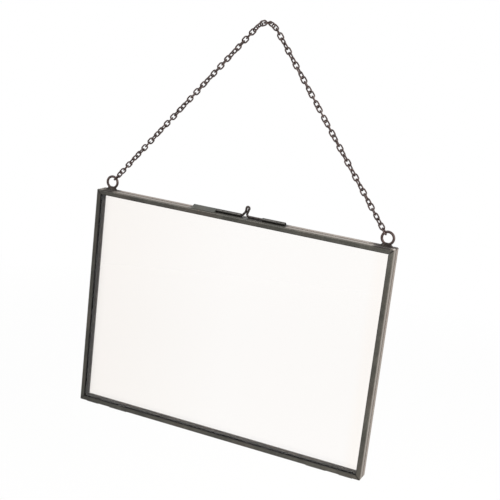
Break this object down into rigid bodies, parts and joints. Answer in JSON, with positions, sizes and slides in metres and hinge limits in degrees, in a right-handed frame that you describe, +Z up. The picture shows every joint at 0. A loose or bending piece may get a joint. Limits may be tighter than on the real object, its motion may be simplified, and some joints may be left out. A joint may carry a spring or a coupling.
{
  "type": "double-sided hanging photo frame",
  "caption": "Double-sided glazed metal photo frame that opens on bottom hinges, locks with a sliding loop pin and hangs on a link chain.",
  "frame": {"origin": "point under the chain's crest where it rests on its nail", "axes": "+Z up, -Y is the front of the frame, +X to the right seen from the front"},
  "size_m": [0.182, 0.0088, 0.2412],
  "materials": {
    "front_metal": "dark patinated sheet metal, satin",
    "rear_metal": "dark patinated sheet metal, satin",
    "pane_glass": "clear float glass",
    "wire_metal": "darkened wire",
    "solder": "darkened solder"
  },
  "bodies": {
    "chain": {"chain_end_link_left": "wire_metal", "chain_left": "wire_metal", "chain_crest": "wire_metal", "chain_right": "wire_metal", "chain_end_link_right": "wire_metal"},
    "rear_leaf": {"rear_top_channel": "rear_metal", "rear_bottom_channel": "rear_metal", "rear_left_channel": "rear_metal", "rear_right_channel": "rear_metal", "rear_glass": "pane_glass", "latch_tube_left": "rear_metal", "latch_tube_right": "rear_metal", "left_hinge_tube": "rear_metal", "left_hinge_pin": "wire_metal", "right_hinge_tube": "rear_metal", "right_hinge_pin": "wire_metal", "left_ring": "wire_metal", "right_ring": "wire_metal", "ring_solder": "solder"},
    "front_leaf": {"front_top_channel": "front_metal", "front_bottom_channel": "front_metal", "front_left_channel": "front_metal", "front_right_channel": "front_metal", "front_glass": "pane_glass", "latch_knuckle": "front_metal", "left_outer_knuckle": "front_metal", "left_inner_knuckle": "front_metal", "right_outer_knuckle": "front_metal", "right_inner_knuckle": "front_metal"},
    "latch_pin": {"latch_pin": "wire_metal"}
  },
  "joints": [
    {"name": "frame_swing", "type": "hinge", "parent": "chain", "child": "rear_leaf", "pos_m": [-0.002, 0, -0.09815], "axis": [1, 0, 0], "range_deg": [-35, 35]},
    {"name": "leaf_hinge", "type": "hinge", "parent": "rear_leaf", "child": "front_leaf", "pos_m": [-0.002, -0.00225, -0.23735], "axis": [1, 0, 0], "range_deg": [0, 180]},
    {"name": "latch_slide", "type": "slide", "parent": "rear_leaf", "child": "latch_pin", "axis": [1, 0, 0], "range_m": [0, 0.0074]}
  ]
}
